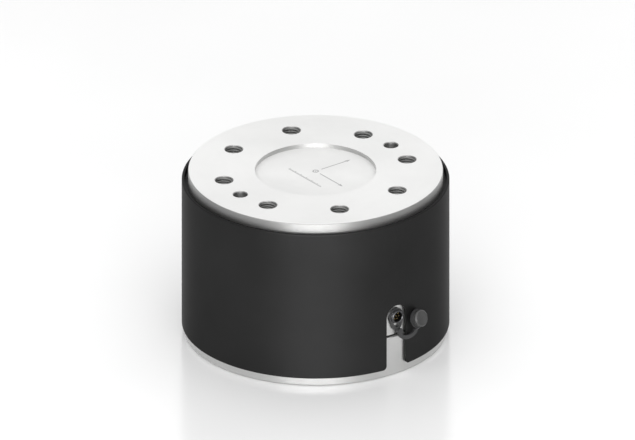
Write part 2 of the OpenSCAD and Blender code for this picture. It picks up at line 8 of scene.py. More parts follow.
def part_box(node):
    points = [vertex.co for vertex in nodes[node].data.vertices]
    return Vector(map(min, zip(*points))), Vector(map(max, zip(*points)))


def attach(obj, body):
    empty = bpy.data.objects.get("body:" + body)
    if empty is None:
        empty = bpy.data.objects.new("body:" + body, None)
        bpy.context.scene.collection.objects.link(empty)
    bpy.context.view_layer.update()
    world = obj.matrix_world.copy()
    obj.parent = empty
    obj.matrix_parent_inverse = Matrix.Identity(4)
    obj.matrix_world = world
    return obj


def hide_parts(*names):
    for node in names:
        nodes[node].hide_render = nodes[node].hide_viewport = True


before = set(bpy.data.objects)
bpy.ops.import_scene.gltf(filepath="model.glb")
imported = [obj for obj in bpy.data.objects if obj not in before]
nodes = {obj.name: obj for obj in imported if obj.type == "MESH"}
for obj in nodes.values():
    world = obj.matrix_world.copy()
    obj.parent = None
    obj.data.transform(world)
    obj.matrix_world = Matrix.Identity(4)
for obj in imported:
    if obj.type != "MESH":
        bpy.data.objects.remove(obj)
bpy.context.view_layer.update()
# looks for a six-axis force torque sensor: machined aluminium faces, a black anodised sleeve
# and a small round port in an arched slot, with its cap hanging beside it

mm = 0.001
waveSpacing = 0.31  # between a wave texture's rings, or its bands along one axis, at scale 1
weldDistance = 1e-7  # nearer points of a piece become one
print("frame loaded,", len(nodes), "nodes")


def linear(hexColour):
    # sRGB hex to the linear colour that shaders read
    parts = [int(hexColour[i:i + 2], 16) / 255 for i in (1, 3, 5)]
    return tuple(c / 12.92 if c <= 0.04045 else ((c + 0.055) / 1.055) ** 2.4 for c in parts) + (1.0,)


def setStops(elements, stops):
    # the stops of a colour ramp, each a position with a hex colour or a plain share of white
    while len(elements) > len(stops):
        elements.remove(elements[-1])
    while len(elements) < len(stops):
        elements.new(1)
    for element, (position, colour) in zip(elements, stops):
        element.position = position
        element.color = linear(colour) if isinstance(colour, str) else (colour, colour, colour, 1)


def addNode(tree, kind, settings=None, links=None):
    # one shader node, its settings by name, and what feeds its inputs
    node = tree.nodes.new(kind)
    for key, value in (settings or {}).items():
        if key == "stops":
            setStops(node.color_ramp.elements, value)
        elif isinstance(key, str) and hasattr(node, key):
            setattr(node, key, value)
        else:
            node.inputs[key].default_value = value
    for key, source in (links or {}).items():
        tree.links.new(source, node.inputs[key])
    return node


def joinTo(tree, shader, sources):
    # what feeds the shader's inputs, by name
    for name, source in sources.items():
        tree.links.new(source, shader.inputs[name])


def startMaterial(name, surface):
    # a material with a Principled shader; the surface dictionary holds its plain numbers
    material = bpy.data.materials.new(name)
    material.use_nodes = True
    tree = material.node_tree
    tree.nodes.clear()
    shader = addNode(tree, "ShaderNodeBsdfPrincipled", surface)
    output = addNode(tree, "ShaderNodeOutputMaterial")
    tree.links.new(shader.outputs["BSDF"], output.inputs["Surface"])
    place = addNode(tree, "ShaderNodeTexCoord")
    return material, tree, shader, place.outputs["Object"]


def dress(nodeName, material):
    # the CAD node keeps its shape and gets a finish
    mesh = nodes[nodeName].data
    mesh.materials.clear()
    mesh.materials.append(material)


def makePiece(name, vertices, faces, material, stands=(), smoothAngle=35):
    mesh = bpy.data.meshes.new(name)
    mesh.from_pydata([tuple(v) for v in vertices], [], faces)
    mesh.update()
    finishPiece(name, mesh, material, stands, smoothAngle)


def finishPiece(name, mesh, material, stands, smoothAngle):
    # smooth shading with crisp edges above the angle; the piece rides on the one body
    piece = bpy.data.objects.new(name, mesh)
    bpy.context.scene.collection.objects.link(piece)
    mesh.materials.clear()
    mesh.materials.append(material)
    work = bmesh.new()
    work.from_mesh(mesh)
    bmesh.ops.remove_doubles(work, verts=work.verts, dist=weldDistance)
    bmesh.ops.recalc_face_normals(work, faces=work.faces)
    for face in work.faces:
        face.smooth = True
    for edge in work.edges:
        if len(edge.link_faces) == 2 and edge.calc_face_angle() > math.radians(smoothAngle):
            edge.smooth = False
    work.to_mesh(mesh)
    work.free()
    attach(piece, "root")
    if stands:
        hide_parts(*stands)


def joinShapes(shapes):
    # several (vertices, faces) as one
    vertices, faces = [], []
    for shapeVertices, shapeFaces in shapes:
        base = len(vertices)
        vertices += shapeVertices
        faces += [[base + i for i in face] for face in shapeFaces]
    return vertices, faces


def turned(profile, steps, shape=None, capEnds=True):
    # a turned body round Z; shape(radius, height, angle) may change the radius as it goes round
    vertices, faces = [], []
    for radius, height in profile:
        for j in range(steps):
            angle = 2 * math.pi * j / steps
            r = shape(radius, height, angle) if shape else radius
            vertices.append((r * math.cos(angle), r * math.sin(angle), height))
    for i in range(len(profile) - 1):
        for j in range(steps):
            k = (j + 1) % steps
            faces.append([i * steps + j, i * steps + k, (i + 1) * steps + k, (i + 1) * steps + j])
    if capEnds:
        faces.append(list(range(steps)))
        faces.append([(len(profile) - 1) * steps + j for j in range(steps)])
    return vertices, faces


def placed(shape, matrix):
    return [tuple(matrix @ Vector(v)) for v in shape[0]], shape[1]


# the tool plate's side is turned bright, so its shine is drawn out across the lay; its dark side tone is
# painted shade
plateFinish = {"side": "#b2b2b1", "recess": "#d4d4d3", "sideRough": (0.42, 0.50), "faceRough": -0.05,
               "spread": 0.7}
# the base and the housing are turned and then blasted, so they shine evenly; their upright walls take a
# slightly darker tone as painted shade
baseFinish = {"side": "#d2d2d1", "recess": "#d2d2d1", "sideRough": (0.27, 0.35), "faceRough": 0.1,
              "spread": 0.0}
# how far out from the axis an upright wall takes each tone
wallReach = {"recess": 37.5 * mm, "boresFrom": 42 * mm, "boresTo": 63 * mm, "side": 67.5 * mm,
             "whole": 75 * mm}
# painted shade in the seam between the base and the housing: it fades in and out over these heights and radii
seamReach = {"under": 23.3 * mm, "low": 23.5 * mm, "high": 25.05 * mm, "over": 25.2 * mm,
             "inner": 72.75 * mm, "outer": 73.05 * mm, "whole": 100 * mm}


def turnedAluminium(name, finish):
    # aluminium alloy: the faces are blasted and clear anodised, so pale and even; the turned sides
    # stay bare, so they mirror the studio in light and dark bands, and they are coloured darker than the
    # faces as painted shade; a soft lay shows close by
    tone = {"face": ("#dcdcdb", "#e4e4e3"), "bore": "#b2b2b1", "cloud": ("#f7f7f7", "#ffffff"),
            "seam": "#565656"}
    # the anodic layer scatters what the metal would mirror, so a face counts as barely metal
    faceMetal = 0.1
    # a real lay is 0.15 mm apart, too fine to show here, so it is drawn as soft waves 6 mm apart
    lay = {"feed": 6.0 * mm, "grain": 0.9 * mm, "cloud": 38 * mm, "depth": 0.010 * mm, "share": 0.55}
    material, tree, shader, place = startMaterial(name, {
        "Metallic": 1.0, "Roughness": 0.34, "Anisotropic": finish["spread"], "Anisotropic Rotation": 0.25})
    # the lay runs in rings on a face and in bands round a side
    rings = addNode(tree, "ShaderNodeTexWave", {
        "wave_type": "RINGS", "rings_direction": "Z", "Scale": waveSpacing / lay["feed"],
        "Distortion": 0.4, "Detail": 1.0, "Detail Scale": 2.0}, {"Vector": place})
    bands = addNode(tree, "ShaderNodeTexWave", {
        "wave_type": "BANDS", "bands_direction": "Z", "Scale": waveSpacing / lay["feed"],
        "Distortion": 0.3}, {"Vector": place})
    grain = addNode(tree, "ShaderNodeTexNoise", {"Scale": 1 / lay["grain"], "Detail": 4.0}, {"Vector": place})
    cloud = addNode(tree, "ShaderNodeTexNoise", {"Scale": 1 / lay["cloud"], "Detail": 3.0}, {"Vector": place})
    normal = addNode(tree, "ShaderNodeNewGeometry")
    normalParts = addNode(tree, "ShaderNodeSeparateXYZ", links={"Vector": normal.outputs["Normal"]})
    level = addNode(tree, "ShaderNodeMath", {"operation": "ABSOLUTE"}, {0: normalParts.outputs["Z"]})
    pattern = addNode(tree, "ShaderNodeMix", {"data_type": "FLOAT"}, {
        "Factor": level.outputs[0], "A": bands.outputs["Fac"], "B": rings.outputs["Fac"]})
    mixed = addNode(tree, "ShaderNodeMath", {"operation": "MULTIPLY_ADD", 1: lay["share"]}, {
        0: pattern.outputs["Result"], 2: grain.outputs["Fac"]})
    # 1 on a level face, 0 on an upright wall
    facing = addNode(tree, "ShaderNodeMapRange", {"From Min": 0.75, "From Max": 0.98},
                     {"Value": level.outputs[0]})

    # painted shade: upright walls are coloured darker than the faces, by their distance from the axis: the
    # register, the reamed holes, the outer side
    flat = addNode(tree, "ShaderNodeVectorMath", {"operation": "MULTIPLY", 1: (1.0, 1.0, 0.0)}, {0: place})
    out = addNode(tree, "ShaderNodeVectorMath", {"operation": "LENGTH"}, {0: flat.outputs["Vector"]})
    outShare = addNode(tree, "ShaderNodeMapRange", {"From Max": wallReach["whole"]},
                       {"Value": out.outputs["Value"]})
    wallShade = addNode(tree, "ShaderNodeValToRGB", {"stops": [
        (wallReach["recess"] / wallReach["whole"], finish["recess"]),
        (wallReach["boresFrom"] / wallReach["whole"], tone["bore"]),
        (wallReach["boresTo"] / wallReach["whole"], tone["bore"]),
        (wallReach["side"] / wallReach["whole"], finish["side"])]}, {"Fac": outShare.outputs["Result"]})
    cloudTone = addNode(tree, "ShaderNodeValToRGB", {
        "stops": [(0.3, tone["cloud"][0]), (0.7, tone["cloud"][1])]}, {"Fac": cloud.outputs["Fac"]})
    sideTone = addNode(tree, "ShaderNodeMix", {"data_type": "RGBA", "blend_type": "MULTIPLY", 0: 1.0}, {
        6: wallShade.outputs["Color"], 7: cloudTone.outputs["Color"]})
    faceTone = addNode(tree, "ShaderNodeValToRGB", {
        "stops": [(0.3, tone["face"][0]), (0.7, tone["face"][1])]}, {"Fac": cloud.outputs["Fac"]})
    colour = addNode(tree, "ShaderNodeMix", {"data_type": "RGBA"}, {
        "Factor": facing.outputs["Result"], 6: sideTone.outputs[2], 7: faceTone.outputs["Color"]})

    # painted shade darkens the seam groove between the base and the housing
    placeParts = addNode(tree, "ShaderNodeSeparateXYZ", links={"Vector": place})
    height = addNode(tree, "ShaderNodeMapRange", {"From Max": seamReach["whole"]},
                     {"Value": placeParts.outputs["Z"]})
    atSeam = addNode(tree, "ShaderNodeValToRGB", {"stops": [
        (seamReach["under"] / seamReach["whole"], 0.0), (seamReach["low"] / seamReach["whole"], 1.0),
        (seamReach["high"] / seamReach["whole"], 1.0), (seamReach["over"] / seamReach["whole"], 0.0)]},
        {"Fac": height.outputs["Result"]})
    inside = addNode(tree, "ShaderNodeValToRGB", {"stops": [
        (seamReach["inner"] / wallReach["whole"], 1.0), (seamReach["outer"] / wallReach["whole"], 0.0)]},
        {"Fac": outShare.outputs["Result"]})
    seam = addNode(tree, "ShaderNodeMath", {"operation": "MULTIPLY"}, {
        0: atSeam.outputs["Color"], 1: inside.outputs["Color"]})
    seamShaded = addNode(tree, "ShaderNodeMix", {"data_type": "RGBA", 7: linear(tone["seam"])}, {
        "Factor": seam.outputs[0], 6: colour.outputs[2]})

    metal = addNode(tree, "ShaderNodeMapRange", {"To Min": 1.0, "To Max": faceMetal},
                    {"Value": facing.outputs["Result"]})
    grainRough = addNode(tree, "ShaderNodeMapRange", {
        "To Min": finish["sideRough"][0], "To Max": finish["sideRough"][1]}, {"Value": mixed.outputs[0]})
    rough = addNode(tree, "ShaderNodeMath", {"operation": "MULTIPLY_ADD", 1: finish["faceRough"]}, {
        0: facing.outputs["Result"], 2: grainRough.outputs["Result"]})
    bump = addNode(tree, "ShaderNodeBump", {"Strength": 0.25, "Distance": lay["depth"]},
                   {"Height": mixed.outputs[0]})
    joinTo(tree, shader, {"Base Color": seamShaded.outputs[2], "Metallic": metal.outputs["Result"],
                          "Roughness": rough.outputs[0], "Normal": bump.outputs["Normal"]})
    return material


def anodisedAluminium():
    # aluminium tube, fine blasted and black anodised: deep neutral black with a soft satin sheen,
    # a shade greyer where the dye took unevenly; the dye layer takes up what would gleam at a flat
    # angle, so the tint keeps the sides dark
    skin = {"blast": 0.35 * mm, "cloud": 45 * mm, "depth": 0.012 * mm, "colours": ("#2b2b2b", "#303030"),
            "rough": (0.43, 0.50)}
    material, tree, shader, place = startMaterial("anodised aluminium, black satin", {
        "Metallic": 0.85, "Roughness": 0.46, "Specular Tint": (0.52, 0.52, 0.52, 1.0)})
    blast = addNode(tree, "ShaderNodeTexNoise", {"Scale": 1 / skin["blast"], "Detail": 3.0},
                    {"Vector": place})
    cloud = addNode(tree, "ShaderNodeTexNoise", {"Scale": 1 / skin["cloud"], "Detail": 2.0},
                    {"Vector": place})
    dye = addNode(tree, "ShaderNodeValToRGB", {
        "stops": [(0.3, skin["colours"][0]), (0.7, skin["colours"][1])]}, {"Fac": cloud.outputs["Fac"]})
    rough = addNode(tree, "ShaderNodeMapRange", {"To Min": skin["rough"][0], "To Max": skin["rough"][1]},
                    {"Value": blast.outputs["Fac"]})
    bump = addNode(tree, "ShaderNodeBump", {"Strength": 0.2, "Distance": skin["depth"]},
                   {"Height": blast.outputs["Fac"]})
    joinTo(tree, shader, {"Base Color": dye.outputs["Color"], "Roughness": rough.outputs["Result"],
                          "Normal": bump.outputs["Normal"]})
    return material


def steel(name, colours, roughness):
    # metal with a drawn or ground surface: fine marks run one way and break the shine
    scratch = {"length": 13.889 * mm, "width": 0.92593 * mm, "depth": 0.006 * mm, "rough": 0.06}
    material, tree, shader, place = startMaterial(name, {"Metallic": 1.0, "Roughness": roughness})
    stretch = addNode(tree, "ShaderNodeMapping", {
        "Scale": (1 / scratch["length"], 1 / scratch["length"], 1 / scratch["width"])}, {"Vector": place})
    marks = addNode(tree, "ShaderNodeTexNoise", {"Scale": 1.0, "Detail": 5.0},
                    {"Vector": stretch.outputs["Vector"]})
    tint = addNode(tree, "ShaderNodeValToRGB", {"stops": [(0.35, colours[0]), (0.65, colours[1])]},
                   {"Fac": marks.outputs["Fac"]})
    rough = addNode(tree, "ShaderNodeMapRange", {
        "To Min": roughness - scratch["rough"], "To Max": roughness + scratch["rough"]},
        {"Value": marks.outputs["Fac"]})
    bump = addNode(tree, "ShaderNodeBump", {"Strength": 0.3, "Distance": scratch["depth"]},
                   {"Height": marks.outputs["Fac"]})
    joinTo(tree, shader, {"Base Color": tint.outputs["Color"], "Roughness": rough.outputs["Result"],
                          "Normal": bump.outputs["Normal"]})
    return material


def moulded(name, colours, roughness, grainSize):
    # plastic or rubber from a mould: the mould's fine grain shows as a soft mottle
    skin = {"cloud": 9 * mm, "depth": 0.01 * mm, "smoother": 0.05, "rougher": 0.07}
    material, tree, shader, place = startMaterial(name, {"Metallic": 0.0, "Roughness": roughness, "IOR": 1.5})
    grain = addNode(tree, "ShaderNodeTexVoronoi", {"Scale": 1 / grainSize}, {"Vector": place})
    cloud = addNode(tree, "ShaderNodeTexNoise", {"Scale": 1 / skin["cloud"], "Detail": 3.0},
                    {"Vector": place})
    tint = addNode(tree, "ShaderNodeValToRGB", {"stops": [(0.35, colours[0]), (0.65, colours[1])]},
                   {"Fac": cloud.outputs["Fac"]})
    rough = addNode(tree, "ShaderNodeMapRange", {
        "To Min": roughness - skin["smoother"], "To Max": roughness + skin["rougher"]},
        {"Value": cloud.outputs["Fac"]})
    bump = addNode(tree, "ShaderNodeBump", {"Strength": 0.35, "Distance": skin["depth"]},
                   {"Height": grain.outputs["Distance"]})
    joinTo(tree, shader, {"Base Color": tint.outputs["Color"], "Roughness": rough.outputs["Result"],
                          "Normal": bump.outputs["Normal"]})
    return material


def boardLaminate():
    # glass-epoxy board under green solder mask: glossy, with the copper tracks faintly raised below it
    trackField = 6 * mm
    trackRise = 0.03 * mm
    material, tree, shader, place = startMaterial("glass-epoxy board, green solder mask", {
        "Metallic": 0.0, "Roughness": 0.28, "IOR": 1.55})
    tracks = addNode(tree, "ShaderNodeTexBrick", {
        "Scale": 1 / trackField, "Mortar Size": 0.06, "Brick Width": 0.9, "Row Height": 0.35,
        "Color1": linear("#0f4a2a"), "Color2": linear("#12532f"), "Mortar": linear("#1d6f40")},
        {"Vector": place})
    bump = addNode(tree, "ShaderNodeBump", {"Strength": 0.4, "Distance": trackRise},
                   {"Height": tracks.outputs["Fac"]})
    joinTo(tree, shader, {"Base Color": tracks.outputs["Color"], "Normal": bump.outputs["Normal"]})
    return material


def gaugeFoil():
    # etched foil under amber polyimide film: light bands across an orange carrier; the grid's own
    # lines are 0.1 mm apart, too fine to show, so soft diagonal bands 7.2 mm apart stand for them
    bandScale = 62.0
    bandRise = 0.02 * mm
    material, tree, shader, place = startMaterial("polyimide film over etched foil", {
        "Metallic": 0.0, "Roughness": 0.3, "IOR": 1.7})
    lines = addNode(tree, "ShaderNodeTexWave", {
        "wave_type": "BANDS", "bands_direction": "DIAGONAL", "Scale": bandScale},
        {"Vector": place})
    tint = addNode(tree, "ShaderNodeValToRGB", {"stops": [(0.4, "#a8641c"), (0.6, "#c9924a")]},
                   {"Fac": lines.outputs["Fac"]})
    bump = addNode(tree, "ShaderNodeBump", {"Strength": 0.3, "Distance": bandRise},
                   {"Height": lines.outputs["Fac"]})
    joinTo(tree, shader, {"Base Color": tint.outputs["Color"], "Normal": bump.outputs["Normal"]})
    return material


plateAluminium = turnedAluminium("machined aluminium, fine turned", plateFinish)
aluminium = turnedAluminium("machined aluminium, turned and blasted", baseFinish)
sleeveBlack = anodisedAluminium()
springSteel = steel("tool steel, milled and wire cut", ("#a9acb0", "#c3c5c8"), 0.36)
groundSteel = steel("steel, ground", ("#b7b9bc", "#d0d2d4"), 0.22)
blackSteel = steel("steel, black oxide", ("#1c1c1e", "#2c2c2f"), 0.4)
nickelBrass = steel("nickel-plated brass, turned", ("#a3a29d", "#c2c1bc"), 0.3)
coatedBrass = steel("brass, turned and black coated", ("#4b4b4c", "#606062"), 0.34)
goldPlate = steel("gold-plated copper alloy", ("#7a6a49", "#8f7f5e"), 0.36)
sealRubber = moulded("nitrile rubber, moulded", ("#0d0d0e", "#151516"), 0.6, 0.5 * mm)
blackNylon = moulded("nylon, moulded black", ("#161617", "#1e1e1f"), 0.42, 0.4 * mm)
capPlastic = moulded("polyamide, moulded dark grey", ("#373737", "#414141"), 0.46, 0.35 * mm)
tetherPlastic = moulded("soft polyethylene, moulded charcoal", ("#2a2a2b", "#343435"), 0.5, 0.35 * mm)
ivoryNylon = moulded("nylon, moulded ivory", ("#cfc8b4", "#ddd7c6"), 0.45, 0.4 * mm)
redWire = moulded("wire insulation, extruded red", ("#7e1f1a", "#8f2a22"), 0.4, 0.3 * mm)
board = boardLaminate()
foil = gaugeFoil()
print("materials made")

finishOf = {
    "tool_plate": plateAluminium, "body_housing": aluminium, "base_flange": aluminium,
    "cover_sleeve": sleeveBlack, "sensing_element": springSteel,
    "strain_gauges": foil, "terminal_pads": goldPlate, "gauge_leads": redWire,
    "element_screws": blackSteel, "hub_screws": blackSteel, "base_screws": blackSteel,
    "locating_dowels": groundSteel, "overload_pins": groundSteel,
    "gap_seal": sealRubber, "sleeve_o_ring": sealRubber, "flange_o_ring": sealRubber,
    "signal_board": board, "board_chips": blackNylon, "lead_headers": ivoryNylon,
    "board_spacers": groundSteel, "board_screws": blackSteel, "connector_shell": coatedBrass,
    "connector_o_ring": sealRubber, "connector_nut": nickelBrass, "connector_insert": blackNylon,
    "contact_pins": goldPlate, "connector_leads": redWire, "connector_cap": capPlastic,
    "cap_gasket": sealRubber, "cap_tether": tetherPlastic,
}
for nodeName, finish in finishOf.items():
    dress(nodeName, finish)
print("solids dressed")


tapped = {"circle": 53.0 * mm, "count": 8, "turn": 22.5, "outer": 4.985 * mm, "inner": 4.25 * mm,
          "pitch": 1.5 * mm, "start": 0.55 * mm, "end": 14.6 * mm, "mouth": 0.44 * mm, "fadeTurns": 0.5,
          # one turn's section: share of the pitch along the hole, share of the depth inwards
          "section": [(0.0, 0.0), (0.06, 0.0), (0.43, 1.0), (0.57, 1.0), (0.94, 0.0)],
          "steps": 40, "smooth": 50}


def tappedThread():
    # inner thread as one strip wound down the hole, fading out at both ends
    turns = (tapped["end"] - tapped["start"]) / tapped["pitch"]
    total = int(turns * tapped["steps"])
    depth = tapped["outer"] - tapped["inner"]
    vertices, faces = [], []
    for i in range(total + 1):
        done = i / tapped["steps"]
        left = (total - i) / tapped["steps"]
        angle = 2 * math.pi * done
        fade = min(1.0, done / tapped["fadeTurns"], left / tapped["fadeTurns"])
        for along, height in tapped["section"]:
            z = -tapped["start"] - (done + along - 0.5) * tapped["pitch"]
            z = min(-tapped["mouth"], z)  # nothing stands in the countersunk mouth
            r = tapped["outer"] - depth * height * fade
            vertices.append((r * math.cos(angle), -r * math.sin(angle), z))
    width = len(tapped["section"])
    for i in range(total):
        for j in range(width - 1):
            a = i * width + j
            faces.append([a, a + 1, a + width + 1, a + width])
    return vertices, faces


def tappedAluminium():
    # aluminium cut by a tap: torn flanks are dull; the thread is coloured darker than the faces as painted
    # shade, darkest in its first turns at the mouth
    cut = {"tear": 0.3 * mm, "depth": 0.02 * mm, "dark": 5.0 * mm,
           "deep": "#a6a6a5", "near": "#848483", "mouth": "#5c5c5c"}
    material, tree, shader, place = startMaterial("machined aluminium, tapped", {
        "Metallic": 0.8, "Roughness": 0.5})
    parts = addNode(tree, "ShaderNodeSeparateXYZ", links={"Vector": place})
    middle = (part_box("tool_plate")[1].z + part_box("base_flange")[0].z) / 2
    fromMiddle = addNode(tree, "ShaderNodeMath", {"operation": "SUBTRACT", 1: middle},
                         {0: parts.outputs["Z"]})
    level = addNode(tree, "ShaderNodeMath", {"operation": "ABSOLUTE"}, {0: fromMiddle.outputs[0]})
    towardsFace = addNode(tree, "ShaderNodeMapRange", {
        "From Min": middle - cut["dark"], "From Max": middle}, {"Value": level.outputs[0]})
    # painted shade: the thread darkens towards the mouth
    tint = addNode(tree, "ShaderNodeValToRGB", {
        "stops": [(0.3, cut["deep"]), (0.75, cut["near"]), (1.0, cut["mouth"])]},
        {"Fac": towardsFace.outputs["Result"]})
    tear = addNode(tree, "ShaderNodeTexNoise", {"Scale": 1 / cut["tear"], "Detail": 3.0}, {"Vector": place})
    bump = addNode(tree, "ShaderNodeBump", {"Strength": 0.4, "Distance": cut["depth"]},
                   {"Height": tear.outputs["Fac"]})
    joinTo(tree, shader, {"Base Color": tint.outputs["Color"], "Normal": bump.outputs["Normal"]})
    return material


def threadsOnFace(name, faceZ, up, finish):
    one = tappedThread()
    copies = []
    for i in range(tapped["count"]):
        turn = math.radians(tapped["turn"] + i * 360 / tapped["count"])
        spot = Matrix.Translation((
            tapped["circle"] * math.cos(turn), tapped["circle"] * math.sin(turn), faceZ))
        if not up:
            spot = spot @ Matrix.Rotation(math.pi, 4, "X")
        copies.append(placed(one, spot))
    vertices, faces = joinShapes(copies)
    makePiece(name, vertices, faces, finish, smoothAngle=tapped["smooth"])


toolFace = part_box("tool_plate")[1].z
threadFinish = tappedAluminium()
threadsOnFace("tool_face_threads", toolFace, True, threadFinish)
threadsOnFace("base_face_threads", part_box("base_flange")[0].z, False, threadFinish)
print("tapped threads cut")


marks = {"floor": 2.5 * mm, "lift": 0.02 * mm, "line": 0.7 * mm, "shiftX": -2.6 * mm, "shiftY": 2.0 * mm,
         "from": 4.0 * mm, "toX": 25.0 * mm, "toY": 24.5 * mm, "head": 3.4 * mm, "headWidth": 2.2 * mm,
         "headNotch": 0.72, "headOverlap": 0.8, "ring": 1.5 * mm, "ringSteps": 40,
         "dot": 0.49 * mm, "dotSteps": 16,
         "rowFrom": -11.5 * mm, "rowTo": 18.0 * mm, "rowY": -10.2 * mm, "rowLine": 0.35 * mm,
         "tick": 1.5 * mm, "shortTick": 0.65, "tickLine": 0.42 * mm, "tickStep": 1.0 * mm, "tickGroup": 5}


def slab(points, z):
    # four points in the plane, raised into a thin slab that lies on z
    vertices = [(p.x, p.y, z) for p in points] + [(p.x, p.y, z + marks["lift"]) for p in points]
    return vertices, [[0, 1, 2, 3], [4, 5, 6, 7], [0, 1, 5, 4], [1, 2, 6, 5], [2, 3, 7, 6], [3, 0, 4, 7]]


def flatStrip(a, b, width, z):
    # a flat bar from a to b
    a, b = Vector((a[0], a[1], 0)), Vector((b[0], b[1], 0))
    side = (b - a).normalized().cross(Vector((0, 0, 1))) * width / 2
    return slab([a - side, a + side, b + side, b - side], z)


def arrowHead(tip, way, z):
    tip, way = Vector((tip[0], tip[1], 0)), Vector((way[0], way[1], 0))
    length, width = marks["head"], marks["headWidth"]
    side = way.cross(Vector((0, 0, 1)))
    return slab([tip, tip - way * length + side * width / 2, tip - way * length * marks["headNotch"],
                 tip - way * length - side * width / 2], z)


def laserMark():
    # aluminium darkened by a marking laser: flat grey, slightly rough
    mark = {"grain": 0.5 * mm, "colours": ("#a2a2a2", "#b2b2b2")}
    material, tree, shader, place = startMaterial("aluminium, laser marked", {
        "Metallic": 0.6, "Roughness": 0.5})
    grain = addNode(tree, "ShaderNodeTexNoise", {"Scale": 1 / mark["grain"], "Detail": 2.0},
                    {"Vector": place})
    tint = addNode(tree, "ShaderNodeValToRGB", {
        "stops": [(0.3, mark["colours"][0]), (0.7, mark["colours"][1])]}, {"Fac": grain.outputs["Fac"]})
    joinTo(tree, shader, {"Base Color": tint.outputs["Color"]})
    return material


def axisMarks():
    z = toolFace - marks["floor"]
    top = z + marks["lift"]
    stemBack = marks["head"] * marks["headOverlap"]
    shapes = [
        flatStrip((marks["from"], 0), (marks["toX"] - stemBack, 0), marks["line"], z),
        arrowHead((marks["toX"], 0), (1, 0), z),
        flatStrip((0, marks["from"]), (0, marks["toY"] - stemBack), marks["line"], z),
        arrowHead((0, marks["toY"]), (0, 1), z)]
    # ring with a dot: the third axis, seen end on
    inner, outer = marks["ring"] - marks["line"] / 2, marks["ring"] + marks["line"] / 2
    ringProfile = [(inner, z), (inner, top), (outer, top), (outer, z)]
    shapes.append(turned(ringProfile, marks["ringSteps"], capEnds=False))
    shapes.append(turned([(marks["dot"], z), (marks["dot"], top)], marks["dotSteps"]))
    # plain graduation beside the arrows, every fifth tick long
    shapes.append(flatStrip(
        (marks["rowFrom"], marks["rowY"]), (marks["rowTo"], marks["rowY"]), marks["rowLine"], z))
    ticks = int((marks["rowTo"] - marks["rowFrom"]) / marks["tickStep"]) + 1
    for i in range(ticks):
        x = marks["rowFrom"] + i * marks["tickStep"]
        reach = marks["tick"] * (1.0 if i % marks["tickGroup"] == 0 else marks["shortTick"])
        shapes.append(flatStrip((x, marks["rowY"]), (x, marks["rowY"] + reach), marks["tickLine"], z))
    shift = Matrix.Translation((marks["shiftX"], marks["shiftY"], 0))
    vertices, faces = placed(joinShapes(shapes), shift)
    makePiece("axis_marks", vertices, faces, laserMark())


axisMarks()
print("axis marks laid")


shellLow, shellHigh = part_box("connector_shell")
portHeight = (shellLow.z + shellHigh.z) / 2
port = {"end": shellHigh.x, "tail": shellLow.x, "barrel": 3.8 * mm, "bore": 2.95 * mm,
        "flange": 4.6 * mm, "rear": 3.9 * mm, "seat": 72.6 * mm, "flangeThick": 0.9 * mm,
        "pitch": 0.75 * mm, "threadDepth": 0.36 * mm, "threadFoot": 1.25, "threadFlank": 4,
        "edge": 0.3 * mm, "turnedEdge": 0.2 * mm, "seatEdge": 0.15 * mm, "boreEdge": 0.25 * mm,
        "steps": 120, "rows": 52}


def alongX(height):
    # turned bodies are made round Z; this lays them along +X at a height
    return Matrix.Translation((0, 0, height)) @ Matrix.Rotation(math.pi / 2, 4, "Y")


def portShell():
    front = port["seat"] + port["flangeThick"]
    threadEnd = port["end"] - port["edge"]

    def wall(radius, height, angle):
        # the barrel's thread: a groove with a flat foot and straight flanks winds along it
        if radius != port["barrel"] or not front < height <= threadEnd:
            return radius
        phase = ((height - front) / port["pitch"] - angle / (2 * math.pi)) % 1.0
        groove = port["threadFoot"] - abs(phase - 0.5) * port["threadFlank"]
        groove = min(1.0, max(0.0, groove))
        return radius - port["threadDepth"] * groove

    profile = [(port["bore"], port["tail"]),
               (port["rear"] - port["turnedEdge"], port["tail"]),
               (port["rear"], port["tail"] + port["turnedEdge"]),
               (port["rear"], port["seat"]),
               (port["flange"] - port["seatEdge"], port["seat"]),
               (port["flange"], port["seat"] + port["seatEdge"]),
               (port["flange"], front - port["turnedEdge"]),
               (port["flange"] - port["turnedEdge"], front)]
    profile += [(port["barrel"], front + (threadEnd - front) * i / port["rows"])
                for i in range(port["rows"] + 1)]
    profile += [(port["barrel"] - port["edge"], port["end"]),
                (port["bore"] + port["boreEdge"], port["end"]),
                (port["bore"], port["end"] - port["boreEdge"]),
                (port["bore"], port["tail"])]
    shape = turned(profile, port["steps"], wall, capEnds=False)
    vertices, faces = placed(shape, alongX(portHeight))
    makePiece("port_shell", vertices, faces, coatedBrass, ("connector_shell",))


contacts = {"radius": 0.4 * mm, "tip": 0.35 * mm, "circle": 0.64, "around": 7, "first": 90, "steps": 20,
            # rounding of the tip: share of the radius, share of the tip's length back from the end
            "tipRound": [(0.94, 0.6), (0.75, 0.25), (0.4, 0.05), (0.12, 0.0)]}


def portContacts():
    # pins with rounded tips, one in the middle and the others round it
    low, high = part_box("contact_pins")
    circle = port["bore"] * contacts["circle"]
    spots = [(0.0, 0.0)]
    for i in range(contacts["around"]):
        turn = math.radians(contacts["first"] + i * 360 / contacts["around"])
        spots.append((circle * math.cos(turn), circle * math.sin(turn)))
    profile = [(contacts["radius"], low.x), (contacts["radius"], high.x - contacts["tip"])]
    profile += [(contacts["radius"] * wide, high.x - contacts["tip"] * back)
                for wide, back in contacts["tipRound"]]
    pins = []
    for y, z in spots:
        pin = turned(profile, contacts["steps"])
        pins.append(placed(pin, Matrix.Translation((0, y, 0)) @ alongX(portHeight + z)))
    vertices, faces = joinShapes(pins)
    makePiece("port_contacts", vertices, faces, goldPlate, ("contact_pins",))


portShell()
portContacts()
print("port made")


# how far a mould rounds an edge, which edges count as sharp, and how near points are one
mould = {"tetherEdge": 0.12 * mm, "capEdge": 0.10 * mm, "sharp": 50, "flat": 1, "smooth": 40,
         "weld": 2e-6, "segments": 2, "fullness": 0.6}


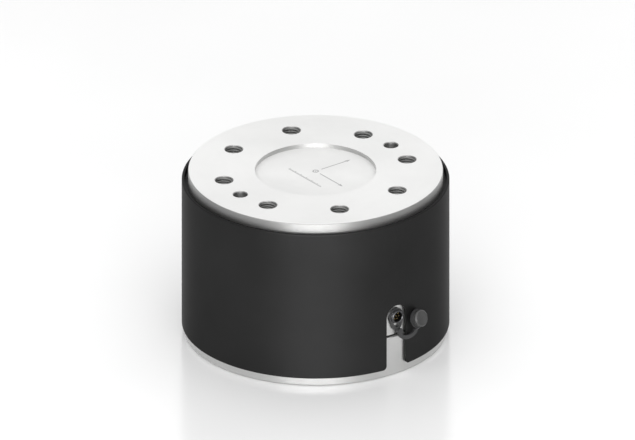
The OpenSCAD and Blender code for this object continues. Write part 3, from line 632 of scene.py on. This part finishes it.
def softened(nodeName, name, width, material):
    # a copy of the solid with its sharp edges rounded, as a mould leaves them
    mesh = nodes[nodeName].data.copy()
    work = bmesh.new()
    work.from_mesh(mesh)
    bmesh.ops.remove_doubles(work, verts=work.verts, dist=mould["weld"])
    bmesh.ops.dissolve_limit(
        work, angle_limit=math.radians(mould["flat"]), verts=work.verts, edges=work.edges)
    sharp = [edge for edge in work.edges
             if len(edge.link_faces) == 2 and edge.calc_face_angle() > math.radians(mould["sharp"])]
    bmesh.ops.bevel(work, geom=sharp, offset=width, segments=mould["segments"],
                    profile=mould["fullness"], affect="EDGES", clamp_overlap=True)
    work.to_mesh(mesh)
    work.free()
    finishPiece(name, mesh, material, (nodeName,), mould["smooth"])


softened("cap_tether", "moulded_tether", mould["tetherEdge"], tetherPlastic)
softened("connector_cap", "moulded_cap", mould["capEdge"], capPlastic)
print("tether and cap softened")


studio = {"floorWidth": 4.0, "floorHeight": -0.0003, "floorMottle": 166.67 * mm,
          "floorColours": ("#f1f1f1", "#f4f4f4")}


def studioFloor():
    half = studio["floorWidth"] / 2
    mesh = bpy.data.meshes.new("studio_floor")
    mesh.from_pydata([(-half, -half, 0), (half, -half, 0), (half, half, 0), (-half, half, 0)], [],
                     [[0, 1, 2, 3]])
    floor = bpy.data.objects.new("studio_floor", mesh)
    floor.location.z = studio["floorHeight"]
    bpy.context.scene.collection.objects.link(floor)
    # white satin sweep: even, with a faint reflection at the object's foot
    material, tree, shader, place = startMaterial("studio floor, white satin", {
        "Metallic": 0.0, "Roughness": 0.18, "IOR": 1.62})
    mottle = addNode(tree, "ShaderNodeTexNoise", {"Scale": 1 / studio["floorMottle"], "Detail": 2.0},
                     {"Vector": place})
    tint = addNode(tree, "ShaderNodeValToRGB", {
        "stops": [(0.3, studio["floorColours"][0]), (0.7, studio["floorColours"][1])]},
        {"Fac": mottle.outputs["Fac"]})
    joinTo(tree, shader, {"Base Color": tint.outputs["Color"]})
    mesh.materials.append(material)


viewing = {"azimuth": 52.75, "elevation": 25.5, "width": 0.35562, "right": 0.00107, "height": 0.06775,
           "distance": 2.0, "near": 0.01, "far": 20}


def direction(azimuth, elevation):
    # unit vector from the object out to a viewer or a lamp, angles in degrees
    a, e = math.radians(azimuth), math.radians(elevation)
    return Vector((math.sin(a) * math.cos(e), -math.cos(a) * math.cos(e), math.sin(e)))


def standAt(thing, aim, way, distance):
    # a camera or lamp at a distance from the point that it faces
    thing.location = aim + way * distance
    thing.rotation_mode = "QUATERNION"
    thing.rotation_quaternion = (-way).to_track_quat("-Z", "Y")
    bpy.context.scene.collection.objects.link(thing)


def studioCamera():
    azimuth = math.radians(viewing["azimuth"])
    across = Vector((math.cos(azimuth), math.sin(azimuth), 0))
    aim = across * viewing["right"] + Vector((0, 0, viewing["height"]))
    lens = bpy.data.cameras.new("camera")
    lens.type = "ORTHO"
    lens.ortho_scale = viewing["width"]
    lens.clip_start, lens.clip_end = viewing["near"], viewing["far"]
    camera = bpy.data.objects.new("camera", lens)
    standAt(camera, aim, direction(viewing["azimuth"], viewing["elevation"]), viewing["distance"])
    bpy.context.scene.camera = camera


sky = {
    "strength": 1.84,
    # light by height, from the horizon to straight above
    "rise": [(0.0, 0.9), (0.43, 0.95), (0.75, 0.9), (1.0, 0.9)],
    # light of the low sky from the studio's back wall round to its front: dark at the sides, so
    # that upright metal shows dark and light bands
    "round": [(0.11, 0.72), (0.325, 0.15), (0.87, 0.13), (0.93, 0.82)],
    # light of the high sky, and the heights over which it takes the place of the low one
    "high": 0.68, "highFrom": 0.5, "highTo": 0.82,
}


def studioSky():
    world = bpy.data.worlds.new("studio")
    bpy.context.scene.world = world
    world.use_nodes = True
    tree = world.node_tree
    tree.nodes.clear()
    place = addNode(tree, "ShaderNodeTexCoord")
    # X of the turned direction runs from the studio's back wall to its front
    turnedPlace = addNode(tree, "ShaderNodeMapping", {
        "vector_type": "POINT", "Rotation": (0.0, 0.0, math.pi / 2 - math.radians(viewing["azimuth"]))},
        {"Vector": place.outputs["Generated"]})
    parts = addNode(tree, "ShaderNodeSeparateXYZ", links={"Vector": turnedPlace.outputs["Vector"]})
    rise = addNode(tree, "ShaderNodeValToRGB", {"stops": sky["rise"]}, {"Fac": parts.outputs["Z"]})
    fromBack = addNode(tree, "ShaderNodeMapRange", {"From Min": -1.0, "From Max": 1.0},
                       {"Value": parts.outputs["X"]})
    low = addNode(tree, "ShaderNodeValToRGB", {"stops": sky["round"]}, {"Fac": fromBack.outputs["Result"]})
    upwards = addNode(tree, "ShaderNodeMapRange", {"From Min": sky["highFrom"], "From Max": sky["highTo"]},
                      {"Value": parts.outputs["Z"]})
    shade = addNode(tree, "ShaderNodeMix", {"data_type": "FLOAT", "B": sky["high"]}, {
        "Factor": upwards.outputs["Result"], "A": low.outputs["Color"]})
    light = addNode(tree, "ShaderNodeVectorMath", {"operation": "SCALE"}, {
        0: rise.outputs["Color"], "Scale": shade.outputs["Result"]})
    background = addNode(tree, "ShaderNodeBackground", {"Strength": sky["strength"]},
                         {"Color": light.outputs["Vector"]})
    addNode(tree, "ShaderNodeOutputWorld", links={"Surface": background.outputs["Background"]})


# turn is from the camera's side, lift from the floor; both face a point above the mounting face
lamps = {
    "front_bank": {"turn": 0, "lift": 7, "distance": 1.6, "width": 1.3, "height": 0.33, "watts": 15.5},
    "top_bank": {"turn": 0, "lift": 55, "distance": 1.7, "width": 1.8, "height": 1.8, "watts": 8.5},
}
lampAim = 50 * mm


def studioLamps():
    for name, bank in lamps.items():
        light = bpy.data.lights.new(name, "AREA")
        light.shape = "RECTANGLE"
        light.size, light.size_y, light.energy = bank["width"], bank["height"], bank["watts"]
        way = direction(viewing["azimuth"] + bank["turn"], bank["lift"])
        standAt(bpy.data.objects.new(name, light), Vector((0, 0, lampAim)), way, bank["distance"])


studioFloor()
studioCamera()
studioSky()
studioLamps()
bpy.context.scene.view_settings.view_transform = "Standard"
print("stage, lights and camera set")
